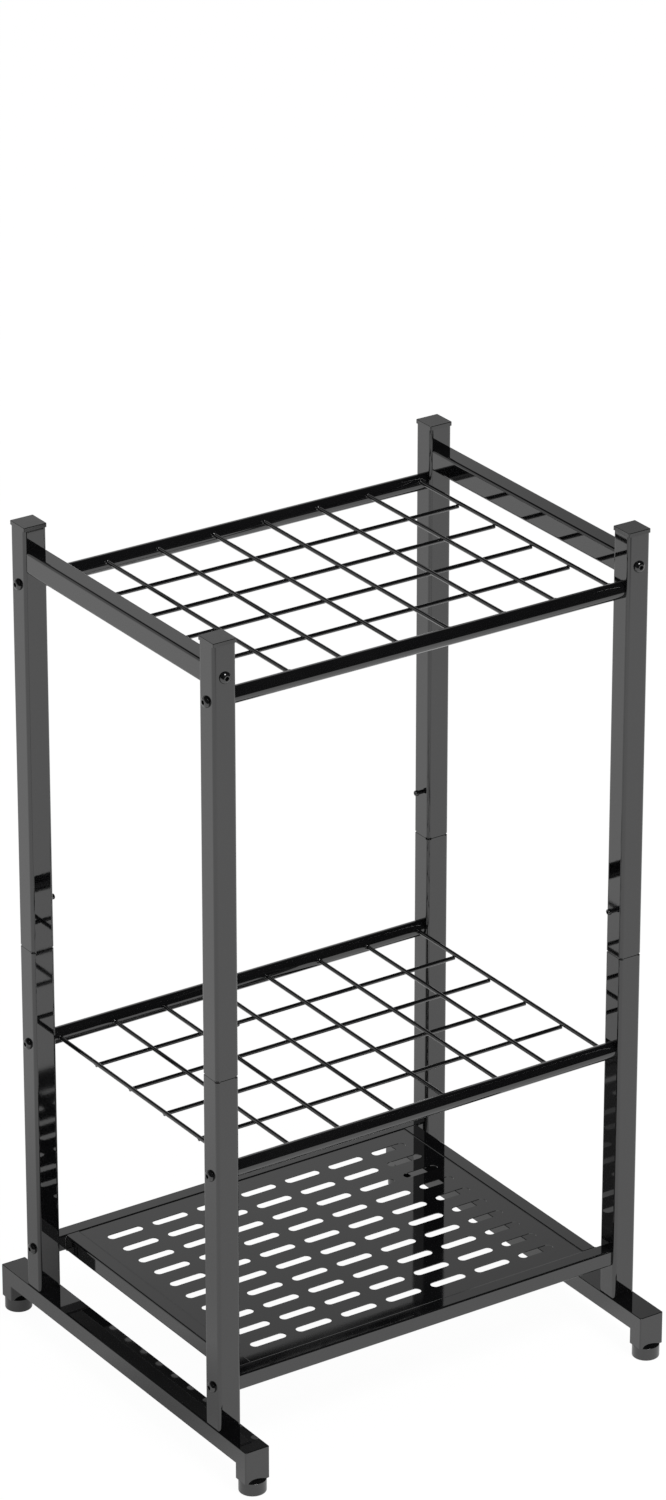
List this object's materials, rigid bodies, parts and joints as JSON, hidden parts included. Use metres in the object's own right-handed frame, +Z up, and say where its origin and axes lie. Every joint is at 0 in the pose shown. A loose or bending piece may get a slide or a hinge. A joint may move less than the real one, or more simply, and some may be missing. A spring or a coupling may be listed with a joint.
{
  "type": "freestanding garden tool rack",
  "caption": "Tall open rack of square posts on base rails with levelling feet, holding long tool handles upright through wire grids above a slotted tray.",
  "frame": {"origin": "on the floor under the middle of the rack", "axes": "+X along the wide side, +Y from the front to the back, +Z up"},
  "size_m": [0.5988, 0.5494, 1.047],
  "materials": {
    "frame": "gloss black powder coat on steel",
    "caps": "moulded black plastic",
    "foot_pads": "moulded black plastic",
    "foot_studs": "zinc plated",
    "bolts": "black coated steel",
    "screws": "black coated steel",
    "connectors": "black coated steel",
    "inserts": "zinc plated"
  },
  "bodies": {
    "rack_frame": {"base_rail_left": "frame", "base_rail_right": "frame", "end_block_front_left": "frame", "end_block_front_right": "frame", "end_block_back_left": "frame", "end_block_back_right": "frame", "lower_post_front_left": "frame", "lower_post_front_right": "frame", "lower_post_back_left": "frame", "lower_post_back_right": "frame", "upper_post_front_left": "frame", "upper_post_front_right": "frame", "upper_post_back_left": "frame", "upper_post_back_right": "frame", "side_rail_left": "frame", "side_rail_right": "frame", "middle_grid_front_tube": "frame", "middle_grid_back_tube": "frame", "middle_grid_cross_wires": "frame", "middle_grid_long_wires": "frame", "top_grid_front_tube": "frame", "top_grid_back_tube": "frame", "top_grid_cross_wires": "frame", "top_grid_long_wires": "frame", "tray_front_tube": "frame", "tray_back_tube": "frame", "tray_left_tube": "frame", "tray_right_tube": "frame", "tray_deck": "frame", "post_cap_front_left": "caps", "post_cap_front_right": "caps", "post_cap_back_left": "caps", "post_cap_back_right": "caps", "post_connector_front_left": "connectors", "post_connector_front_right": "connectors", "post_connector_back_left": "connectors", "post_connector_back_right": "connectors", "middle_grid_bolts": "bolts", "top_grid_bolts": "bolts", "side_rail_bolts": "bolts", "tray_bolts": "bolts", "post_base_bolts": "bolts", "connector_screws": "screws", "middle_grid_inserts": "inserts", "top_grid_inserts": "inserts", "side_rail_inserts": "inserts", "tray_inserts": "inserts", "post_base_inserts": "inserts"},
    "foot_stud_front_left": {"foot_stud_front_left": "foot_studs"},
    "foot_pad_front_left": {"foot_pad_front_left": "foot_pads"},
    "foot_stud_front_right": {"foot_stud_front_right": "foot_studs"},
    "foot_pad_front_right": {"foot_pad_front_right": "foot_pads"},
    "foot_stud_back_left": {"foot_stud_back_left": "foot_studs"},
    "foot_pad_back_left": {"foot_pad_back_left": "foot_pads"},
    "foot_stud_back_right": {"foot_stud_back_right": "foot_studs"},
    "foot_pad_back_right": {"foot_pad_back_right": "foot_pads"}
  },
  "joints": [
    {"name": "foot_screw_out_front_left", "type": "slide", "parent": "rack_frame", "child": "foot_stud_front_left", "axis": [0, 0, -1], "range_m": [0, 0.01]},
    {"name": "foot_turn_front_left", "type": "hinge", "parent": "foot_stud_front_left", "child": "foot_pad_front_left", "pos_m": [-0.28, -0.25825, 0.008], "axis": [0, 0, -1], "range_deg": [0, 2880]},
    {"name": "foot_screw_out_front_right", "type": "slide", "parent": "rack_frame", "child": "foot_stud_front_right", "axis": [0, 0, -1], "range_m": [0, 0.01]},
    {"name": "foot_turn_front_right", "type": "hinge", "parent": "foot_stud_front_right", "child": "foot_pad_front_right", "pos_m": [0.28, -0.25825, 0.008], "axis": [0, 0, -1], "range_deg": [0, 2880]},
    {"name": "foot_screw_out_back_left", "type": "slide", "parent": "rack_frame", "child": "foot_stud_back_left", "axis": [0, 0, -1], "range_m": [0, 0.01]},
    {"name": "foot_turn_back_left", "type": "hinge", "parent": "foot_stud_back_left", "child": "foot_pad_back_left", "pos_m": [-0.28, 0.25825, 0.008], "axis": [0, 0, -1], "range_deg": [0, 2880]},
    {"name": "foot_screw_out_back_right", "type": "slide", "parent": "rack_frame", "child": "foot_stud_back_right", "axis": [0, 0, -1], "range_m": [0, 0.01]},
    {"name": "foot_turn_back_right", "type": "hinge", "parent": "foot_stud_back_right", "child": "foot_pad_back_right", "pos_m": [0.28, 0.25825, 0.008], "axis": [0, 0, -1], "range_deg": [0, 2880]}
  ],
  "couplings": [
    {"joint": "foot_turn_front_left", "follows": "foot_screw_out_front_left", "rad_per_m": 5026.5},
    {"joint": "foot_turn_front_right", "follows": "foot_screw_out_front_right", "rad_per_m": 5026.5},
    {"joint": "foot_turn_back_left", "follows": "foot_screw_out_back_left", "rad_per_m": 5026.5},
    {"joint": "foot_turn_back_right", "follows": "foot_screw_out_back_right", "rad_per_m": 5026.5}
  ]
}
